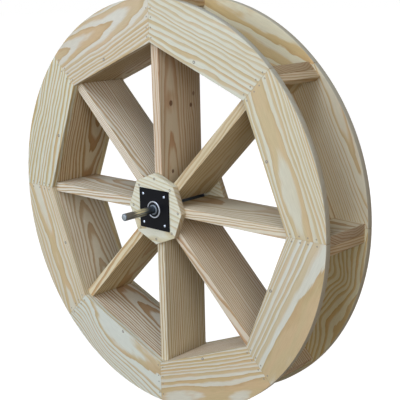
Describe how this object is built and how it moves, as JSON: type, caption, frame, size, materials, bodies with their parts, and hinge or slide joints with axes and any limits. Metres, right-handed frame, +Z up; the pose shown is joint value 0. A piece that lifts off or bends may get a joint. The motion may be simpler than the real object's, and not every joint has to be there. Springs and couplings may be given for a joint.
{
  "type": "wooden water wheel",
  "caption": "Round wooden bucket wheel: mitred board rims, radial spoke boards with lips, sole boards and octagonal hub plates, free to turn on sealed bearings on a steel shaft.",
  "frame": {"origin": "centre of the wheel, on the shaft's axis, midway between the rims", "axes": "+Z up, +Y along the shaft towards the back, so that the wheel turns about +Y; the front faces -Y"},
  "size_m": [1.22, 0.4065, 1.22],
  "materials": {
    "pine": "fresh sawn and planed, unpainted",
    "black_plate": "black powder coat",
    "bearing_steel": "ground",
    "shaft_steel": "bright drawn"
  },
  "bodies": {
    "axle": {"shaft": "shaft_steel", "front_inner_ring": "bearing_steel", "back_inner_ring": "bearing_steel"},
    "wheel": {"front_hub_plate": "pine", "front_bearing_plate": "black_plate", "front_bearing_ring": "bearing_steel", "back_hub_plate": "pine", "back_bearing_plate": "black_plate", "back_bearing_ring": "bearing_steel", "front_rim_1": "pine", "front_rim_2": "pine", "front_rim_3": "pine", "front_rim_4": "pine", "front_rim_5": "pine", "front_rim_6": "pine", "front_rim_7": "pine", "front_rim_8": "pine", "back_rim_1": "pine", "back_rim_2": "pine", "back_rim_3": "pine", "back_rim_4": "pine", "back_rim_5": "pine", "back_rim_6": "pine", "back_rim_7": "pine", "back_rim_8": "pine", "spoke_1": "pine", "spoke_2": "pine", "spoke_3": "pine", "spoke_4": "pine", "spoke_5": "pine", "spoke_6": "pine", "spoke_7": "pine", "spoke_8": "pine", "sole_1": "pine", "sole_2": "pine", "sole_3": "pine", "sole_4": "pine", "sole_5": "pine", "sole_6": "pine", "sole_7": "pine", "sole_8": "pine", "paddle_1": "pine", "paddle_2": "pine", "paddle_3": "pine", "paddle_4": "pine", "paddle_5": "pine", "paddle_6": "pine", "paddle_7": "pine", "paddle_8": "pine"}
  },
  "joints": [
    {"name": "wheel_spin", "type": "hinge", "parent": "axle", "child": "wheel", "pos_m": [0, 0, 0], "axis": [0, 1, 0], "continuous": true}
  ]
}
